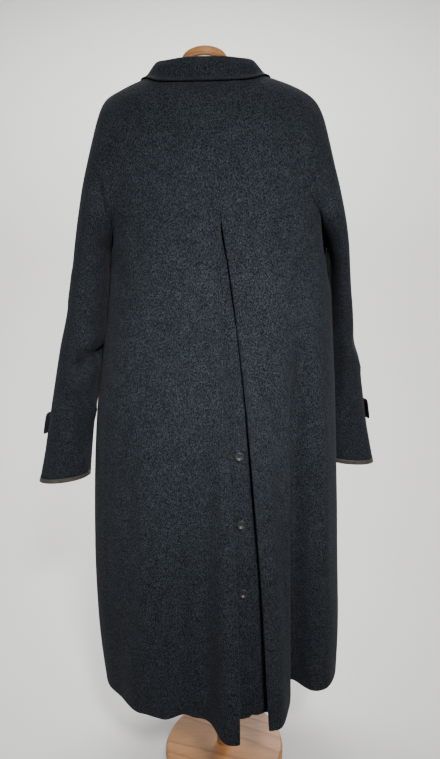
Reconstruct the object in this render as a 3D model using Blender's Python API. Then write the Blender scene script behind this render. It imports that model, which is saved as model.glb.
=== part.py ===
"""Loden coat on a limbless dress form, in metres, +Z up.

The photographed back faces +Y and the wearer's left is +X. The origin is the
centre of the underside of the wooden base. Each cut piece of cloth is a wall
worked out from the tables below: rows of points run up the garment and columns
run round it, and a second layer one cloth thickness inside closes the wall.
"""
import math

import bmesh
import bpy
import numpy as np

CLOTH = 0.0025            # thickness of the fulled wool
SEAM = 0.0004             # space left between two pieces at a seam
HEM_Z = 0.245             # height of the hem above the floor
UNDERARM_Z = 1.14         # height of the underarm points
PLEAT_TOP_Z = 1.158       # top of the inverted pleat in the back
NECK_RISE_BACK = 0.002    # how far the back neckline rises to the sleeve seam
NECK_RISE_FRONT = 0.052   # the same on the fronts
ROUNDNESS = 2.6           # exponent of the oval that the body follows
FRONT_OVERLAP = 0.036     # how far each front passes the centre line
FRONT_LAYER = 0.0056      # how far the right front lies behind the left one
BACK_COLUMNS = 22         # lines of points on a back panel, without its return
FRONT_COLUMNS = 14
SLEEVE_COLUMNS = 19
FLAP_TURN = 0.0033        # outer radius of the folded edge of a pleat flap
UNDERLAY_END_X = -0.028   # visible edge of the lower underlay
UNDERLAY_COLUMNS = 6

VENT_BUTTON_R = 0.0080
VENT_BUTTON_X = -0.0445
VENT_BUTTON_Z = (0.733, 0.608, 0.482)
FRONT_BUTTON_R = 0.0115
FRONT_BUTTONS = 4
FRONT_BUTTON_TOP_Z = 1.27
FRONT_BUTTON_STEP = 0.155
FRONT_BUTTON_INSET = 3.2  # columns of points from the front edge
TAB_BUTTON_R = 0.0085
BUTTON_THICK = 0.0035
BUTTON_STEPS = 14         # sides of a button's round
BUTTON_LIFT = 0.0003      # space between a button and the cloth under it

BINDING_H = 0.009         # height of the leather binding round a cuff
BINDING_LIFT = 0.0006     # how far the binding stands out from the sleeve
BINDING_THICK = 0.0037
TAB_ROW = 15.75           # sleeve row of the middle of a cuff tab
TAB_HALF = 0.42           # half of its width, in sleeve rows
TAB_FROM, TAB_TO = 8.3, 15.2
TAB_COLUMNS = 9
TAB_THICK = 0.0042
TAB_LIFT = 0.0022         # space under the tab
TAB_LOOSE = 0.0040        # how much further its pointed end stands off

COLLAR_FIRST = -151.0     # angle of the right collar end from the centre back
COLLAR_LAST = 172.0       # the same for the left end, which reaches the centre
COLLAR_COLUMNS = 36
COLLAR_POINT = 0.022      # how much further the collar points reach down the front
COLLAR_SPREAD = 0.006     # how much further out they lie
COLLAR_LOW = 0.65         # share by which the stand is lower at the sides
COLLAR_FOLD = 5           # row of the profile where the stand turns into the fall
COLLAR_GAP = 0.0041       # from the coat's outside to the collar's outside
COLLAR_LIFT = 0.003       # how far its bottom clears the front raglan seam
FRONT_CORNER = 139.0      # angle at which the front raglan seam meets the neckline

CAP_TOP_Z = 1.50          # highest point of the dress form
CAP_R = 0.046
CAP_THICK = 0.018
CAP_TILT = 8.5            # degrees that the cap leans towards the back
NECK_R = 0.043
BASE_R = 0.133
BASE_THICK = 0.022
BASE_EDGE = 0.007         # rounding of the base's upper edge
POLE_R = 0.016
FORM_GAP = 0.0003         # space between two pieces of the form

# Body oval by height: left and right half widths, back and front depths.
BODY_COLUMNS = ("z", "left", "right", "back", "front")
BODY = (
    (0.245, 0.252, 0.248, 0.205, 0.200),
    (0.360, 0.262, 0.254, 0.197, 0.192),
    (0.500, 0.264, 0.2535, 0.188, 0.186),
    (0.600, 0.260, 0.2535, 0.180, 0.180),
    (0.800, 0.245, 0.252, 0.165, 0.166),
    (1.000, 0.213, 0.246, 0.150, 0.152),
    (1.140, 0.200, 0.240, 0.138, 0.142),
    (1.190, 0.213, 0.240, 0.135, 0.139),
    (1.267, 0.238, 0.246, 0.128, 0.132),
    (1.330, 0.238, 0.240, 0.121, 0.123),
    (1.380, 0.222, 0.224, 0.112, 0.110),
    (1.410, 0.205, 0.206, 0.100, 0.098),
    (1.432, 0.168, 0.168, 0.085, 0.085),
    (1.446, 0.130, 0.130, 0.074, 0.076),
)

# Raglan seam: angle from the side seam at which the sleeve starts, by height.
RAGLAN_COLUMNS = ("z", "back", "front")
RAGLAN = (
    (1.140, 0.0, 0.0),
    (1.160, 17.0, 18.0),
    (1.190, 35.0, 36.0),
    (1.230, 46.5, 47.0),
    (1.267, 53.0, 53.5),
    (1.332, 60.0, 60.0),
    (1.390, 65.5, 66.0),
    (1.446, 66.0, 70.0),
)

# Sleeve rows above the underarm: height of the seam point, outermost point.
SHOULDER_COLUMNS = ("seam_z", "left_x", "left_z", "right_x", "right_z")
SHOULDER = (
    (1.439, 0.098, 1.449, 0.101, 1.447),
    (1.412, 0.131, 1.443, 0.135, 1.442),
    (1.385, 0.160, 1.434, 0.172, 1.432),
    (1.345, 0.188, 1.424, 0.203, 1.419),
    (1.300, 0.205, 1.409, 0.222, 1.402),
    (1.262, 0.217, 1.375, 0.236, 1.368),
    (1.225, 0.230, 1.330, 0.246, 1.322),
    (1.190, 0.245, 1.275, 0.257, 1.265),
    (1.160, 0.258, 1.215, 0.268, 1.210),
)

# Closed sleeve rows: inner and outer points, height of each, depth, centre y,
# and how far the back of the row leans in against the body.
ARM_COLUMNS = ("in_x", "in_z", "out_x", "out_z", "half_y", "mid_y", "hug")
LEFT_ARM = (
    (0.2010, 1.140, 0.268, 1.165, 0.092, -0.004, 0.006),
    (0.2080, 1.105, 0.280, 1.110, 0.088, -0.006, 0.018),
    (0.2130, 1.060, 0.290, 1.058, 0.083, -0.008, 0.024),
    (0.2200, 1.005, 0.303, 1.002, 0.077, -0.010, 0.024),
    (0.2300, 0.945, 0.320, 0.945, 0.070, -0.012, 0.022),
    (0.2400, 0.880, 0.336, 0.880, 0.065, -0.014, 0.018),
    (0.2530, 0.815, 0.349, 0.815, 0.061, -0.016, 0.012),
    (0.2640, 0.755, 0.362, 0.755, 0.058, -0.018, 0.006),
    (0.2710, 0.705, 0.373, 0.705, 0.056, -0.020, 0.000),
    (0.2770, 0.664, 0.386, 0.657, 0.055, -0.020, 0.000),
)
RIGHT_ARM = (
    (0.2412, 1.140, 0.276, 1.165, 0.092, -0.012, 0.006),
    (0.2480, 1.105, 0.286, 1.110, 0.088, -0.022, 0.008),
    (0.2515, 1.060, 0.293, 1.058, 0.084, -0.034, 0.010),
    (0.2535, 1.005, 0.302, 1.002, 0.078, -0.046, 0.012),
    (0.2560, 0.945, 0.311, 0.945, 0.071, -0.060, 0.012),
    (0.2565, 0.880, 0.324, 0.880, 0.065, -0.072, 0.010),
    (0.2570, 0.815, 0.336, 0.815, 0.061, -0.084, 0.008),
    (0.2570, 0.755, 0.346, 0.755, 0.058, -0.093, 0.004),
    (0.2570, 0.705, 0.356, 0.705, 0.056, -0.098, 0.000),
    (0.2570, 0.664, 0.366, 0.657, 0.055, -0.100, 0.000),
)

# Inverted pleat and the vent in it: the left flap's edge, the opening between
# the flaps, the upper underlay's placket edge and where the left return ends.
PLEAT_COLUMNS = ("z", "left_edge", "opening", "placket", "hidden")
PLEAT = (
    (0.245, -0.0320, 0.0510, -0.062, 0.010),
    (0.370, -0.0340, 0.0460, -0.063, 0.012),
    (0.490, -0.0340, 0.0430, -0.063, 0.014),
    (0.590, -0.0320, 0.0400, -0.062, 0.015),
    (0.685, -0.0290, 0.0380, -0.060, 0.016),
    (0.800, -0.0240, 0.0360, -0.058, 0.016),
    (0.880, -0.0230, 0.0300, -0.057, 0.014),
    (0.960, -0.0220, 0.0240, -0.056, 0.012),
    (1.050, -0.0215, 0.0155, -0.055, 0.010),
    (1.130, -0.0222, 0.0040, -0.054, 0.008),
    (1.158, -0.0228, 0.0004, -0.054, 0.008),
    (1.300, -0.0148, 0.0004, -0.054, 0.008),
    (1.446, -0.0048, 0.0004, -0.054, 0.008),
)

# Folds of the cloth. A step lifts everything on the inner side of its place;
# a ridge or trough is a bump. Places are x at the hem and at the fold's start.
FOLD_COLUMNS = ("panel", "kind", "x_hem", "x_start", "start_z", "depth", "width", "growth")
FOLDS = (
    ("back_left", "step", 0.012, 0.000, 1.050, 0.065, 0.030, 1.7),
    ("back_left", "bump", 0.118, 0.105, 0.900, 0.009, 0.022, 1.0),
    ("back_left", "bump", 0.072, 0.070, 0.780, -0.007, 0.016, 1.1),
    ("back_left", "bump", 0.205, 0.178, 0.820, -0.010, 0.020, 1.0),
    ("back_left", "bump", 0.166, 0.150, 0.980, 0.010, 0.018, 1.0),
    ("back_right", "step", -0.122, -0.100, 0.980, 0.040, 0.022, 1.5),
    ("back_right", "bump", -0.150, -0.172, 1.150, -0.068, 0.021, 1.35),
    ("back_right", "bump", -0.188, -0.205, 1.000, -0.014, 0.018, 1.0),
    ("front_left", "bump", 0.110, 0.100, 0.950, 0.016, 0.022, 1.2),
    ("front_left", "bump", 0.165, 0.150, 1.000, -0.018, 0.022, 1.2),
    ("front_left", "bump", 0.060, 0.062, 0.800, -0.008, 0.018, 1.0),
    ("front_right", "bump", -0.120, -0.105, 1.000, 0.018, 0.022, 1.2),
    ("front_right", "bump", -0.172, -0.160, 1.050, -0.020, 0.022, 1.2),
    ("front_right", "bump", -0.075, -0.072, 0.780, -0.008, 0.018, 1.0),
)

# Collar: places out from the neckline and up from it, from the stand to the edge.
COLLAR_PROFILE_COLUMNS = ("out", "rise")
COLLAR_PROFILE = (
    (-0.0030, 0.0030),
    (-0.0034, 0.0100),
    (-0.0036, 0.0190),
    (-0.0026, 0.0265),
    (0.0010, 0.0300),
    (0.0055, 0.0280),
    (0.0090, 0.0190),
    (0.0140, 0.0080),
    (0.0210, -0.0030),
    (0.0280, -0.0130),
)

# Dress form: half width and half depth by height.
FORM_COLUMNS = ("z", "half_x", "half_y")
FORM = (
    (0.740, 0.150, 0.090),
    (0.760, 0.168, 0.104),
    (0.820, 0.175, 0.110),
    (0.900, 0.165, 0.104),
    (1.020, 0.132, 0.086),
    (1.140, 0.152, 0.098),
    (1.230, 0.166, 0.106),
    (1.300, 0.172, 0.100),
    (1.350, 0.1740, 0.088),
    (1.389, 0.1734, 0.074),
    (1.4107, 0.168, 0.064),
    (1.4257, 0.156, 0.055),
    (1.4357, 0.138, 0.048),
    (1.4422, 0.114, 0.045),
    (1.4457, 0.082, 0.044),
    (1.4477, 0.054, 0.044),
)

SKIRT_ROWS = (0.245, 0.285, 0.33, 0.38, 0.435, 0.495, 0.555, 0.62, 0.69, 0.76, 0.83, 0.90,
              0.97, 1.04, 1.10)
COLLECTION = "Loden coat on dress form"
MATERIALS = {
    "loden": ((0.018, 0.022, 0.028, 1.0), 0.92, 0.0),
    "horn": ((0.02, 0.017, 0.015, 1.0), 0.30, 0.0),
    "leather": ((0.085, 0.055, 0.032, 1.0), 0.60, 0.0),
    "linen": ((0.72, 0.69, 0.62, 1.0), 0.85, 0.0),
    "wood": ((0.50, 0.26, 0.11, 1.0), 0.45, 0.0),
}


def along(table, columns, z, name):
    """Read one named column of a table at height z on a smooth curve."""
    rows = sorted(table)
    heights = [row[0] for row in rows]
    values = [row[columns.index(name)] for row in rows]
    if z <= heights[0]:
        return values[0]
    if z >= heights[-1]:
        return values[-1]
    i = max(k for k in range(len(heights) - 1) if heights[k] <= z)
    step = heights[i + 1] - heights[i]
    slopes = [slope_at(heights, values, k) for k in (i, i + 1)]
    t = (z - heights[i]) / step
    return ((2 * t ** 3 - 3 * t ** 2 + 1) * values[i] + (t ** 3 - 2 * t ** 2 + t) * step * slopes[0]
            + (3 * t ** 2 - 2 * t ** 3) * values[i + 1] + (t ** 3 - t ** 2) * step * slopes[1])


def slope_at(xs, ys, k):
    """Slope of a curve through the points at point k, without overshoot."""
    if k == 0 or k == len(xs) - 1:
        a = max(0, k - 1)
        return (ys[a + 1] - ys[a]) / (xs[a + 1] - xs[a])
    before = (ys[k] - ys[k - 1]) / (xs[k] - xs[k - 1])
    after = (ys[k + 1] - ys[k]) / (xs[k + 1] - xs[k])
    if before * after <= 0:
        return 0.0
    return 2 * before * after / (before + after)


def smooth(t):
    """Ease from 0 to 1 as t goes from 0 to 1."""
    t = min(1.0, max(0.0, t))
    return t * t * (3 - 2 * t)


def unit(v):
    """Vector of length one in the direction of v."""
    return v / max(1e-12, float(np.linalg.norm(v)))


def material(name):
    """Material of the named finish."""
    found = bpy.data.materials.get(name)
    if found:
        return found
    colour, roughness, metallic = MATERIALS[name]
    made = bpy.data.materials.new(name)
    made.use_nodes = True
    shader = made.node_tree.nodes["Principled BSDF"]
    shader.inputs["Base Color"].default_value = colour
    shader.inputs["Roughness"].default_value = roughness
    shader.inputs["Metallic"].default_value = metallic
    made.diffuse_color = colour
    return made


def add_object(name, bm, finish):
    """Turn a bmesh into a named object of the coat's collection."""
    mesh = bpy.data.meshes.new(name)
    bm.to_mesh(mesh)
    bm.free()
    mesh.shade_smooth()
    mesh.set_sharp_from_angle(angle=math.radians(40))
    obj = bpy.data.objects.new(name, mesh)
    own = material(finish).copy()
    own.name = name + "_finish"
    mesh.materials.append(own)
    bpy.data.collections[COLLECTION].objects.link(obj)
    return obj


def normals_of(grid, outward):
    """Unit normals of a grid of points, on the side that outward gives."""
    rows = np.gradient(grid, axis=0)
    cols = np.gradient(grid, axis=1)
    normals = np.cross(cols, rows)
    length = np.linalg.norm(normals, axis=2, keepdims=True)
    normals = normals / np.maximum(length, 1e-12)
    return normals * outward


def draw_in(grid, edge, gap):
    """Move one edge of a grid back by gap, towards the next line of points."""
    out = grid.copy()
    a, b = {"first": ((slice(None), 0), (slice(None), 1)),
            "last": ((slice(None), -1), (slice(None), -2)),
            "bottom": ((0,), (1,)),
            "top": ((-1,), (-2,))}[edge]
    way = grid[b] - grid[a]
    way = way / np.maximum(np.linalg.norm(way, axis=-1, keepdims=True), 1e-12)
    out[a] = grid[a] + way * gap
    return out


def wall(name, outer, inner, finish="loden"):
    """Closed wall between two grids of points of the same shape."""
    rows, cols = outer.shape[:2]
    bm = bmesh.new()
    made = bmesh.ops.create_grid(bm, x_segments=cols - 1, y_segments=rows - 1, size=1.0)
    for k, vert in enumerate(made["verts"]):
        vert.co = outer[k // cols, k % cols]
    skin = list(bm.faces)
    copy = bmesh.ops.duplicate(bm, geom=list(bm.verts) + list(bm.edges) + skin)
    twin = copy["vert_map"]
    for k, vert in enumerate(made["verts"]):
        twin[vert].co = inner[k // cols, k % cols]
    bmesh.ops.reverse_faces(bm, faces=[f for f in bm.faces if f not in set(skin)])
    open_edges = [e for e in bm.edges if e.is_boundary]
    bmesh.ops.bridge_loops(bm, edges=open_edges)
    bmesh.ops.recalc_face_normals(bm, faces=list(bm.faces))
    bmesh.ops.triangulate(bm, faces=list(bm.faces))
    if bm.calc_volume(signed=True) < 0:
        bmesh.ops.reverse_faces(bm, faces=list(bm.faces))
    return add_object(name, bm, finish)


def fold(panel, x, z):
    """Outward displacement of a panel's folds at x and height z."""
    total = 0.0
    for row in FOLDS:
        name, kind, x_hem, x_start, start_z, depth, width, growth = row
        if name != panel or z >= start_z:
            continue
        down = (start_z - z) / (start_z - HEM_Z)
        place = x_start + (x_hem - x_start) * down
        if kind == "step":
            inward = place - x if panel == "back_left" else x - place
            shape = smooth(0.5 + inward / width)
        else:
            shape = math.exp(-((x - place) / width) ** 2)
        total += depth * down ** growth * shape
    return total


def body_point(side, face, angle, z, panel=None):
    """Point of the body's oval: angle 0 at the side seam, 90 at the centre."""
    half = along(BODY, BODY_COLUMNS, z, side)
    depth = along(BODY, BODY_COLUMNS, z, face)
    sign = 1 if side == "left" else -1
    turn = math.radians(angle)
    x = sign * half * abs(math.cos(turn)) ** (2 / ROUNDNESS)
    y = depth * math.sin(turn) ** (2 / ROUNDNESS)
    if panel:
        y += fold(panel, x, z) * smooth(y / (0.55 * depth))
    return np.array((x, y if face == "back" else -y, z))


def angle_at(side, z, x):
    """Angle of the body's oval at a given x."""
    half = along(BODY, BODY_COLUMNS, z, side)
    return math.degrees(math.acos(min(1.0, abs(x) / half) ** (ROUNDNESS / 2)))


def seam_heights():
    """Heights of the seam rows, from the underarm up to the neckline."""
    return [UNDERARM_Z] + sorted(row[0] for row in SHOULDER)


def row_angles(side, face, z, end_x, count, crowd):
    """Angles of the points of one row, from the seam to the row's end at end_x."""
    first = along(RAGLAN, RAGLAN_COLUMNS, z, face) if z > UNDERARM_Z else 0.0
    same_side = (end_x > 0) == (side == "left")
    other = "right" if side == "left" else "left"
    last = angle_at(side, z, end_x) if same_side else 180 - angle_at(other, z, end_x)
    angles = np.linspace(first, last, 120)
    line = np.array([wide_point(side, face, a, z) for a in angles])
    length = np.concatenate(([0], np.cumsum(np.linalg.norm(np.diff(line, axis=0), axis=1))))
    share = 1 - (1 - np.linspace(0, 1, count)) ** crowd
    return np.interp(share * length[-1], length, angles)


def wide_point(side, face, angle, z, panel=None):
    """Body point whose angle may pass 90, on to the other side of the centre."""
    if angle > 90:
        return body_point("right" if side == "left" else "left", face, 180 - angle, z, panel)
    return body_point(side, face, angle, z, panel)


def panel_grid(side, face, end_of, count, crowd, rise):
    """Outer points of a panel: rows from hem to neckline, columns from its seam inward."""
    heights = list(SKIRT_ROWS) + seam_heights()
    panel = face + "_" + side
    top = len(heights) - 1
    grid = np.zeros((len(heights), count, 3))
    for i, z in enumerate(heights):
        angles = row_angles(side, face, z, end_of(z), count, crowd)
        fade = max(0.0, 1 - (top - i) * 0.28)
        for j, angle in enumerate(angles):
            inward = j / (count - 1)
            lower = rise * fade * (1 - (1 - inward) ** 2)
            grid[i, j] = wide_point(side, face, angle, z - lower, panel)
    return grid


def underlay_depth(z, layer):
    """Height of a vent underlay's face over the plain oval; layer 0 is the upper one."""
    down = max(0.0, (1.0 - z) / (1.0 - HEM_Z)) ** 1.5
    return -0.0092 + 0.0170 * down - layer * (0.0042 + 0.007 * down)


def flap_turn(z):
    """How far the rounded edge of a flap reaches sideways; sharp above the pleat."""
    return FLAP_TURN * (0.12 + 0.88 * smooth((PLEAT_TOP_Z - z) / 0.05))


def back_panel(side):
    """Outer points of a back panel with the return behind its pleat flap."""
    sign = 1 if side == "left" else -1
    layer = 0 if side == "left" else 1

    def flap_end(z):
        edge = along(PLEAT, PLEAT_COLUMNS, z, "left_edge")
        if side == "right":
            edge -= along(PLEAT, PLEAT_COLUMNS, z, "opening")
        return edge + sign * flap_turn(z)

    face = panel_grid(side, "back", flap_end, BACK_COLUMNS, 1.3, NECK_RISE_BACK)
    rows = face.shape[0]
    grid = np.zeros((rows, BACK_COLUMNS + 5, 3))
    grid[:, :BACK_COLUMNS] = face
    for i in range(rows):
        edge, before = face[i, -1], face[i, -2]
        ahead = unit((edge - before) * (1, 1, 0))
        out = np.array((-ahead[1], ahead[0], 0.0))
        out = out if out[1] > 0 else -out
        z = edge[2]
        deep = 2 * FLAP_TURN
        grid[i, BACK_COLUMNS] = edge + ahead * flap_turn(z) - out * FLAP_TURN
        grid[i, BACK_COLUMNS + 1] = edge - out * deep
        grid[i, BACK_COLUMNS + 2] = before - out * deep
        end = hidden_end(side, layer, z) if z < PLEAT_TOP_Z else face[i, -4] - out * deep
        grid[i, BACK_COLUMNS + 4] = end
        grid[i, BACK_COLUMNS + 3] = (grid[i, BACK_COLUMNS + 2] + end) / 2
    return grid


def hidden_end(side, layer, z):
    """Where a flap's return meets the underlay that carries on behind it."""
    x = along(PLEAT, PLEAT_COLUMNS, z, "hidden")
    if side == "right":
        x = -0.100 - x * 0.5
    y = along(BODY, BODY_COLUMNS, z, "back") + underlay_depth(z, layer) + SEAM
    return np.array((x, y, z))


def underlay_grid(side):
    """Outer points of one underlay of the vent, up to the top of the pleat."""
    heights = [z for z in SKIRT_ROWS if z < PLEAT_TOP_Z] + [UNDERARM_Z, PLEAT_TOP_Z - 0.004]
    layer = 0 if side == "left" else 1
    grid = np.zeros((len(heights), UNDERLAY_COLUMNS, 3))
    for i, z in enumerate(heights):
        start = hidden_end(side, layer, z)[0]
        finish = UNDERLAY_END_X
        if side == "left":
            finish = along(PLEAT, PLEAT_COLUMNS, z, "placket")
        y = along(BODY, BODY_COLUMNS, z, "back") + underlay_depth(z, layer)
        for j, share in enumerate(np.linspace(0, 1, UNDERLAY_COLUMNS)):
            grid[i, j] = (start + (finish - start) * share, y, z)
    return grid


def front_panel(side):
    """Outer points of a front; the right one passes behind the left at the centre."""
    sign = 1 if side == "left" else -1
    grid = panel_grid(side, "front", lambda z: -sign * FRONT_OVERLAP, FRONT_COLUMNS, 1.0,
                      NECK_RISE_FRONT)
    if side == "right":
        for line in grid:
            for point in line:
                point[1] += FRONT_LAYER * smooth((point[0] + 0.095) / 0.045)
    return grid


def bezier(p0, p1, p2, p3, count):
    """Points on a cubic curve, both ends included."""
    t = np.linspace(0, 1, count)[:, None]
    return ((1 - t) ** 3 * p0 + 3 * (1 - t) ** 2 * t * p1 + 3 * (1 - t) * t ** 2 * p2
            + t ** 3 * p3)


def sleeve_grid(side, back, front, back_normals, front_normals):
    """Outer points of a raglan sleeve: rows from the neckline to the cuff."""
    sign = 1 if side == "left" else -1
    half = (SLEEVE_COLUMNS + 1) // 2
    seams = seam_heights()
    rows = []
    base = len(SKIRT_ROWS)
    arm = LEFT_ARM if side == "left" else RIGHT_ARM
    for k in range(len(seams) - 1, 0, -1):
        z = seams[k]
        out_x = along(SHOULDER, SHOULDER_COLUMNS, z, side + "_x") * sign
        out_z = along(SHOULDER, SHOULDER_COLUMNS, z, side + "_z")
        tight = smooth((1.285 - z) / 0.125)
        crest = np.array((out_x, arm[0][5] * tight, out_z))
        halves = []
        for face, points, normals in ((1, back, back_normals), (-1, front, front_normals)):
            start = points[base + k, 0]
            normal = normals[base + k, 0]
            reach = crest - start
            along_cloth = unit(reach - normal * float(reach @ normal))
            span = float(np.linalg.norm(reach))
            deep = arm[0][4] / 0.75
            loose = start + along_cloth * span * 0.42
            low = smooth((UNDERARM_Z + 0.06 - z) / 0.06)
            lean = 0.018 * (1 - low) - (arm[0][6] if face > 0 else 0.0) * low
            folded = np.array((start[0] + sign * lean, face * deep, start[2] + 0.012 * (1 - low)))
            leave = loose * (1 - tight) + folded * tight
            swing = 0.45 * span * (1 - tight) + deep * tight
            halves.append(bezier(start, leave, crest + np.array((0, face * swing, 0)), crest, half))
        rows.append(np.concatenate((halves[0], halves[1][::-1][1:])))
    for row in arm:
        in_x, in_z, out_x, out_z, half_y, mid_y, hug = row
        start = np.array((sign * in_x, mid_y if row is not arm[0] else 0.0, in_z))
        crest = np.array((sign * out_x, mid_y, out_z))
        deep = half_y / 0.75
        halves = [bezier(start, start + np.array((-sign * hug * max(0, face), face * deep, 0)),
                         crest + np.array((0, face * deep, 0)), crest, half) for face in (1, -1)]
        rows.append(np.concatenate((halves[0], halves[1][::-1][1:])))
    return np.array(rows)


def layers(outer, normals, thick=CLOTH):
    """Outer points and the points one thickness inside them."""
    return outer, outer - normals * thick


def tube_normals(grid):
    """Normals of a sleeve, turned away from the middle of each row."""
    normals = normals_of(grid, 1)
    away = grid - grid.mean(axis=1, keepdims=True)
    if float((normals * away).sum()) < 0:
        normals = -normals
    return normals


def neckline(panels, sleeves):
    """Points of the neckline in order of their angle round the neck."""
    tops = []
    for side in ("left", "right"):
        ends = [panels["back", side][-1, :BACK_COLUMNS], panels["front", side][-1],
                sleeves[side][0]]
        own = np.concatenate(ends)
        tops.append(own[own[:, 0] > 0] if side == "left" else own[own[:, 0] < 0])
    points = np.concatenate(tops)
    angles = np.degrees(np.arctan2(points[:, 0], points[:, 1]))
    order = np.argsort(angles)
    return angles[order], points[order]


def rest_on(point, cloth, directions, gap, press):
    """Move a point so that it lies at least gap over the cloth, or just there."""
    for _ in range(3):
        away = point - cloth
        near = int(np.argmin((away * away).sum(axis=1)))
        height = float(away[near] @ directions[near])
        if height < gap or press:
            point = point + directions[near] * (gap - height)
    return point


def collar_grid(panels, normals, sleeves, sleeve_normals):
    """Outer points of the turn-down collar: stand, fold and fall in one wall."""
    angles, seam_points = neckline(panels, sleeves)
    cloth = np.concatenate([g[10:, :].reshape(-1, 3) for g in panels.values()]
                           + [g[:9].reshape(-1, 3) for g in sleeves.values()])
    ways = np.concatenate([g[10:, :].reshape(-1, 3) for g in normals.values()]
                          + [g[:9].reshape(-1, 3) for g in sleeve_normals.values()])
    grid = np.zeros((len(COLLAR_PROFILE), COLLAR_COLUMNS, 3))
    for j in range(COLLAR_COLUMNS):
        angle = COLLAR_FIRST + (COLLAR_LAST - COLLAR_FIRST) * j / (COLLAR_COLUMNS - 1)
        seam = np.array([np.interp(angle, angles, seam_points[:, k]) for k in range(3)])
        out = unit(seam * (1.0, 1.3, 0.0))
        front = smooth((abs(angle) - 110) / 58)
        side = 1 - COLLAR_LOW * smooth((abs(angle) - 18) / 62)
        for i, (away, rise) in enumerate(COLLAR_PROFILE):
            fall = max(0, i - COLLAR_FOLD) / (len(COLLAR_PROFILE) - 1 - COLLAR_FOLD)
            point = seam + out * (away + COLLAR_SPREAD * front * fall)
            stand = min(rise, COLLAR_PROFILE[1][1])
            point[2] += stand + (rise - stand) * side - COLLAR_POINT * front * fall
            if i == 0:
                point[2] += COLLAR_LIFT * math.exp(-((abs(angle) - FRONT_CORNER) / 12) ** 2)
            if i > COLLAR_FOLD:
                press = i >= len(COLLAR_PROFILE) - 2
                point = rest_on(point, cloth, ways, COLLAR_GAP, press)
            grid[i, j] = point
    return grid


def frame_at(grid, normals, row, col):
    """Point and normal of a grid at a fractional row and column."""
    i, j = min(int(row), grid.shape[0] - 2), min(int(col), grid.shape[1] - 2)
    a, b = row - i, col - j

    def mix(g):
        return ((1 - a) * ((1 - b) * g[i, j] + b * g[i, j + 1])
                + a * ((1 - b) * g[i + 1, j] + b * g[i + 1, j + 1]))
    return mix(grid), unit(mix(normals))


def button(name, centre, normal, radius):
    """Round button lying on a surface, its rim a little raised."""
    profile = ((0.0, 0.62), (0.62, 0.62), (0.74, 0.92), (0.86, 1.0), (0.96, 0.85), (1.0, 0.5),
               (0.93, 0.12), (0.82, 0.0), (0.0, 0.0))
    bm = bmesh.new()
    verts = [bm.verts.new((r * radius, 0.0, h * BUTTON_THICK)) for r, h in profile]
    edges = [bm.edges.new(pair) for pair in zip(verts, verts[1:])]
    bmesh.ops.spin(bm, geom=verts + edges, cent=(0, 0, 0), axis=(0, 0, 1), dvec=(0, 0, 0),
                   angle=2 * math.pi, steps=BUTTON_STEPS, use_merge=True)
    bmesh.ops.remove_doubles(bm, verts=list(bm.verts), dist=0.00001)
    bmesh.ops.recalc_face_normals(bm, faces=list(bm.faces))
    n = unit(np.array(normal))
    side = unit(np.cross(n, (0.0, 0.0, 1.0)))
    up = np.cross(side, n)
    for v in bm.verts:
        v.co = centre + n * (BUTTON_LIFT + v.co.z) + side * v.co.x + up * v.co.y
    if bm.calc_volume(signed=True) < 0:
        bmesh.ops.reverse_faces(bm, faces=list(bm.faces))
    return add_object(name, bm, "horn")


def cuff_pieces(side, grid, normals):
    """Leather binding, tab and tab button of one sleeve."""
    end, before = grid[-1], grid[-2]
    down = end - before
    down = down / np.linalg.norm(down, axis=1, keepdims=True)
    out = normals[-1]
    ring = np.array([end + down * (SEAM + t * BINDING_H) + out * BINDING_LIFT
                     for t in (0.0, 0.5, 1.0)])
    wall("cuff_binding_" + side, ring, ring - out[None] * BINDING_THICK, "leather")
    rows = [TAB_ROW + TAB_HALF * t for t in (-1, -1 / 3, 1 / 3, 1)]
    cols = np.linspace(TAB_FROM, TAB_TO, TAB_COLUMNS)
    face = np.zeros((len(rows), TAB_COLUMNS, 3))
    turn = np.zeros((len(rows), TAB_COLUMNS, 3))
    for i, row in enumerate(rows):
        for j, col in enumerate(cols):
            face[i, j], turn[i, j] = frame_at(grid, normals, row, col)
    lift = TAB_LIFT + TAB_LOOSE * np.array([smooth(1 - j / 2.5) for j in range(TAB_COLUMNS)])
    base = face + turn * lift[None, :, None]
    top = base + turn * TAB_THICK
    wall("cuff_tab_" + side, top, base, "loden")
    button("cuff_button_" + side, (top[1, 2] + top[2, 2]) / 2, turn[1, 2] + turn[2, 2],
           TAB_BUTTON_R)


def loft_rings(name, rings, finish):
    """Closed body through rings of points, with flat ends."""
    rows, cols = len(rings), len(rings[0])
    bm = bmesh.new()
    first = bmesh.ops.create_circle(bm, cap_ends=False, segments=cols, radius=1.0)["verts"]
    for vert, point in zip(first, rings[0]):
        vert.co = point
    loop = list(first)
    edges = list(bm.edges)
    bmesh.ops.contextual_create(bm, geom=edges)
    for ring in rings[1:]:
        made = bmesh.ops.extrude_edge_only(bm, edges=edges)
        new = [g for g in made["geom"] if isinstance(g, bmesh.types.BMVert)]
        old_to_new = {}
        for vert in loop:
            for edge in vert.link_edges:
                other = edge.other_vert(vert)
                if other in new:
                    old_to_new[vert] = other
        loop = [old_to_new[v] for v in loop]
        for vert, point in zip(loop, ring):
            vert.co = point
        edges = [g for g in made["geom"] if isinstance(g, bmesh.types.BMEdge)]
    bmesh.ops.contextual_create(bm, geom=edges)
    bmesh.ops.recalc_face_normals(bm, faces=list(bm.faces))
    if bm.calc_volume(signed=True) < 0:
        bmesh.ops.reverse_faces(bm, faces=list(bm.faces))
    return add_object(name, bm, finish)


def oval(half_x, half_y, z, count, power=2.3):
    """Ring of points on an oval at height z."""
    points = []
    for k in range(count):
        turn = 2 * math.pi * k / count
        c, s = math.cos(turn), math.sin(turn)
        points.append((half_x * math.copysign(abs(c) ** (2 / power), c),
                       half_y * math.copysign(abs(s) ** (2 / power), s), z))
    return points


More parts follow.
